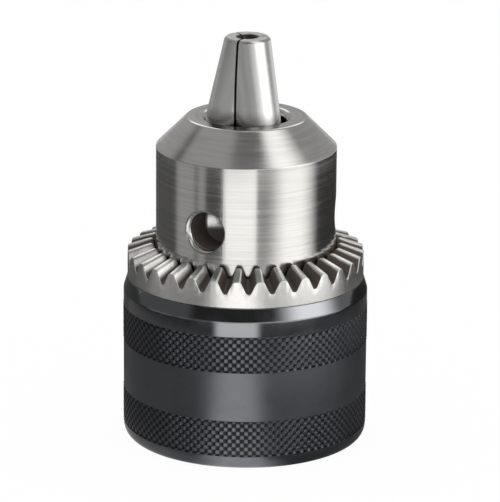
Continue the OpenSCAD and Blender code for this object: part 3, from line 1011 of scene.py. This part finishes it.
class ChuckStageOperator(bpy.types.Operator):
    """Set the floor, the light cards, the sky light and the camera"""

    bl_idname = "chuck.stage"
    bl_label = "Set the stage"

    def execute(self, context):
        studio = context.scene.chuck.studio
        self.floor(studio)
        self.low_cards(studio)
        self.tall_cards(studio)
        self.floor_cards(studio)
        self.sky(context)
        self.camera(context, studio)
        context.scene.view_settings.view_transform = "Standard"
        return {"FINISHED"}

    def floor(self, studio):
        """A plain pale floor that shows white to the camera and in metal, and keeps a faint shadow."""
        deselect()
        bpy.ops.mesh.primitive_plane_add(size=studio.floor_size)
        floor = named("floor")
        material, recipe = finish_named("pale_floor")
        matt = recipe.node("ShaderNodeBsdfDiffuse", inputs={"Color": (*studio.floor_colour, 1.0)})
        white = recipe.node("ShaderNodeEmission", inputs={"Color": (1.0, 1.0, 1.0, 1.0), "Strength": 1.0})
        white_share = 0.97
        mixed = recipe.node(
            "ShaderNodeMixShader", inputs={0: self.shown(recipe) * white_share, 1: matt, 2: white})
        recipe.node("ShaderNodeOutputMaterial", inputs={"Surface": mixed})
        coat_with(floor, material)

    def shown(self, recipe):
        """1 for the rays that show the white background: the camera's, and those off metal or in glass."""
        seen, glossy, through = [recipe.node("ShaderNodeLightPath", output=name) for name in (
            "Is Camera Ray", "Is Glossy Ray", "Is Transmission Ray")]
        return seen.math("MAXIMUM", seen, glossy.math("MAXIMUM", glossy, through))

    def compass(self, recipe, studio):
        """Degrees to the right of the camera, as seen from the axis, and the height of a point."""
        x, y, z = recipe.split(recipe.node("ShaderNodeTexCoord", output="Object"))
        front = x * math.sin(studio.azimuth) - y * math.cos(studio.azimuth)
        side = x * math.cos(studio.azimuth) + y * math.sin(studio.azimuth)
        return side.math("ARCTAN2", side, front) * math.degrees(1), z

    def card(self, name, recipe, material, strength):
        """Makes the last added shape a card that only reflections see."""
        card = named(name)
        apply_place(card)
        glow = recipe.node(
            "ShaderNodeVectorMath", {"operation": "SCALE"}, {0: CARD_TINT, "Scale": strength})
        light = recipe.node("ShaderNodeEmission", inputs={"Color": glow, "Strength": 1.0})
        recipe.node("ShaderNodeOutputMaterial", inputs={"Surface": light})
        coat_with(card, material)
        card.visible_camera = False
        card.visible_diffuse = False
        card.visible_transmission = False
        card.visible_shadow = False

    def wall(self, radius, foot, top):
        """Adds a round wall about the axis."""
        deselect()
        bpy.ops.mesh.primitive_cylinder_add(
            vertices=128, radius=radius, depth=top - foot, end_fill_type="NOTHING",
            location=(0, 0, (foot + top) / 2))

    def strips(self, recipe, around, strength, *rows):
        """Adds upright strips to a strength, each (change, start, end, softness, where), in degrees."""
        for change, start, end, soft, where in rows:
            strength = strength + change * where * recipe.between(around, start, end, soft)
        return strength

    def low_cards(self, studio):
        """Low cards with dark gaps that the upright walls of the body and the ring show."""
        self.wall(studio.near_r, studio.card_gap, studio.near_top)
        material, recipe = finish_named("low_light")
        around, height = self.compass(recipe, studio)
        foot = 1 - recipe.ramp(height, 4.0 * MM, 6.0 * MM)
        above = 1 - foot
        strength = self.strips(
            recipe, around, CARD_LIGHT,
            (-0.33, -49.0, -28.0, 3.0, above), (-0.16, -65.0, -58.0, 1.5, 1.0),
            (-0.3, -160.0, -93.0, 5.0, 1.0), (-0.36, 92.0, 160.0, 9.0, 1.0),
            (1.15, -26.0, 12.5, 1.5, above), (0.45, -42.0, 30.0, 11.0, foot))
        start = around + 8 * foot
        end = around - 4 * foot
        right = recipe.ramp(start, 22.0, 51.0) * (1 - recipe.ramp(end, 66.0, 98.0))
        strength = strength + (1.2 + 0.4 * foot) * right
        strength = strength + 0.9 * recipe.ramp(around.math("ABSOLUTE", around), 160.0, 166.0)
        self.card("low_cards", recipe, material, strength)

    def tall_cards(self, studio):
        """Tall cards that the sloping faces show: jaws, cones, teeth and the lips of the key holes."""
        self.wall(studio.far_r, studio.near_top, studio.far_top)
        material, recipe = finish_named("tall_light")
        around, height = self.compass(recipe, studio)
        beside = around.math("ABSOLUTE", around)
        behind = recipe.ramp(beside, 140.0, 156.0)
        lift = (height - studio.eye_height) / studio.far_r
        low = lift + 0.0027 * beside.math("MAXIMUM", beside - 30.0, 0.0)
        jaws = 1 - recipe.ramp(low, 0.16, 0.22)
        cone = recipe.between(low, 0.2, 0.46, 0.03)
        teeth = recipe.between(lift, 0.36, 0.85, 0.06)
        nose = recipe.ramp(lift, 0.75, 1.05)
        lips = recipe.between(lift, 0.5, 0.8, 0.06)
        front = (0.02 + 0.17 * recipe.ramp(around, -24.0, -6.0)) * jaws
        strength = self.strips(
            recipe, around, CARD_LIGHT,
            (1.0, -30.0, 30.0, 10.0, front), (1.1, -25.0, 20.0, 8.0, lips),
            (-0.35, -52.0, 30.0, 6.0, cone), (-0.18, -135.0, -52.0, 6.0, cone),
            (-0.36, -122.0, -45.0, 8.0, teeth), (-0.2, -40.0, 50.0, 14.0, nose))
        strength = strength + behind * (0.6 + 0.8 * teeth) * recipe.between(lift, 0.5, 1.7, 0.12)
        start = around + 24 * jaws - 4 * cone - 21 * nose
        end = around - 38 * jaws - 4 * cone - 12 * teeth - 20 * nose
        right = recipe.ramp(start, 24.0, 52.0) * (1 - recipe.ramp(end, 66.0, 96.0))
        strength = strength + right * (1.2 + 1.6 * cone + 0.2 * jaws)
        self.card("tall_cards", recipe, material, strength)

    def floor_cards(self, studio):
        """Light cards lying on the floor round the sleeve, dark between them."""
        deselect()
        bpy.ops.mesh.primitive_circle_add(
            vertices=128, radius=studio.far_r, fill_type="NGON", location=(0, 0, studio.card_gap / 2))
        material, recipe = finish_named("floor_light")
        around, _ = self.compass(recipe, studio)
        *_, r = recipe.place()
        edge = recipe.ramp(r, 0.86 * studio.near_r, 0.9 * studio.near_r)
        middle = 1 - edge
        close = 1 - recipe.ramp(r, 0.2 * studio.near_r, 0.3 * studio.near_r)
        strength = self.strips(
            recipe, around, 0.1 - 0.06 * edge,
            (0.05, 18.0, 110.0, 8.0, middle), (0.1, -130.0, -40.0, 8.0, middle),
            (0.3, -150.0, -22.0, 8.0, close))
        front = self.strips(
            recipe, around, 0.0, (1.0, -24.5, 11.0, 4.0, 1 - close), (1.0, -19.0, 14.0, 11.0, close))
        strength = strength + (1.3 + 0.7 * edge) * front
        strength = strength + 0.6 * recipe.ramp(around.math("ABSOLUTE", around), 162.0, 168.0)
        outside = recipe.ramp(r, studio.near_r, 1.05 * studio.near_r)
        beyond = self.strips(recipe, around, CARD_LIGHT, (0.6, 0.0, 160.0, 10.0, 1.0))
        strength = strength * (1 - outside) + beyond * outside
        self.card("floor_cards", recipe, material, strength)

    def sky(self, context):
        """Soft light that is white to the camera and in metal."""
        world = bpy.data.worlds.new("studio_sky")
        world.use_nodes = True
        context.scene.world = world
        recipe = Recipe(world.node_tree)
        soft, white = [recipe.node(
            "ShaderNodeBackground", inputs={"Color": (*tint, 1.0), "Strength": 1.0})
            for tint in ((0.97, 0.985, 1.0), (1.0, 1.0, 1.0))]
        mixed = recipe.node("ShaderNodeMixShader", inputs={0: self.shown(recipe), 1: soft, 2: white})
        recipe.node("ShaderNodeOutputWorld", inputs={"Surface": mixed})

    def camera(self, context, studio):
        """The camera at the viewing angle of the photograph."""
        right = Vector((math.cos(studio.azimuth), math.sin(studio.azimuth), 0))
        back = Vector((
            math.sin(studio.azimuth) * math.cos(studio.elevation),
            -math.cos(studio.azimuth) * math.cos(studio.elevation), math.sin(studio.elevation)))
        aim = right * studio.aim_side + Vector((0, 0, studio.aim_height))
        deselect()
        bpy.ops.object.camera_add(location=aim + back * studio.distance)
        camera = named("photo_camera")
        camera.rotation_mode = "QUATERNION"
        facing = (-back).to_track_quat("-Z", "Y")
        camera.rotation_quaternion = facing @ Quaternion((0, 0, 1), studio.roll)
        camera.data.sensor_fit = "HORIZONTAL"
        camera.data.sensor_width = 36.0
        camera.data.lens = studio.lens
        camera.data.clip_start = 0.01
        context.scene.camera = camera


class ChuckPanel(bpy.types.Panel):
    """The chuck's tab in the sidebar"""

    bl_idname = "CHUCK_PT_panel"
    bl_label = "Drill chuck"
    bl_space_type = "VIEW_3D"
    bl_region_type = "UI"
    bl_category = "Chuck"

    def draw(self, context):
        for operator in OPERATORS:
            self.layout.operator(operator.bl_idname)
        settings = context.scene.chuck
        for part in ("body", "jaw", "ring", "sleeve", "finish", "studio"):
            box = self.layout.box()
            values = getattr(settings, part)
            for key in values.bl_rna.properties.keys():
                if key not in ("rna_type", "name"):
                    box.prop(values, key)


GROUPS = (
    ChuckBodySizes, ChuckJawSizes, ChuckRingSizes, ChuckSleeveSizes, ChuckFinishes, ChuckStudio,
    ChuckSettings)
OPERATORS = (
    ChuckBodyOperator, ChuckThreadOperator, ChuckJawsOperator, ChuckRingOperator, ChuckSleeveOperator,
    ChuckInsideOperator, ChuckStageOperator)


def register():
    """Adds the settings, the operators and the panel."""
    for kind in (*GROUPS, *OPERATORS, ChuckPanel):
        bpy.utils.register_class(kind)
    bpy.types.Scene.chuck = bpy.props.PointerProperty(
        name="Chuck", description="Settings of the drill chuck", type=ChuckSettings)


def unregister():
    """Takes them away again."""
    del bpy.types.Scene.chuck
    for kind in reversed((*GROUPS, *OPERATORS, ChuckPanel)):
        bpy.utils.unregister_class(kind)


def main():
    """Models every piece and sets the stage."""
    register()
    bpy.ops.chuck.body()
    bpy.ops.chuck.spindle_thread()
    bpy.ops.chuck.jaws()
    bpy.ops.chuck.gear_ring()
    bpy.ops.chuck.sleeve()
    bpy.ops.chuck.inside()
    bpy.ops.chuck.stage()


if __name__ == "__main__":
    main()
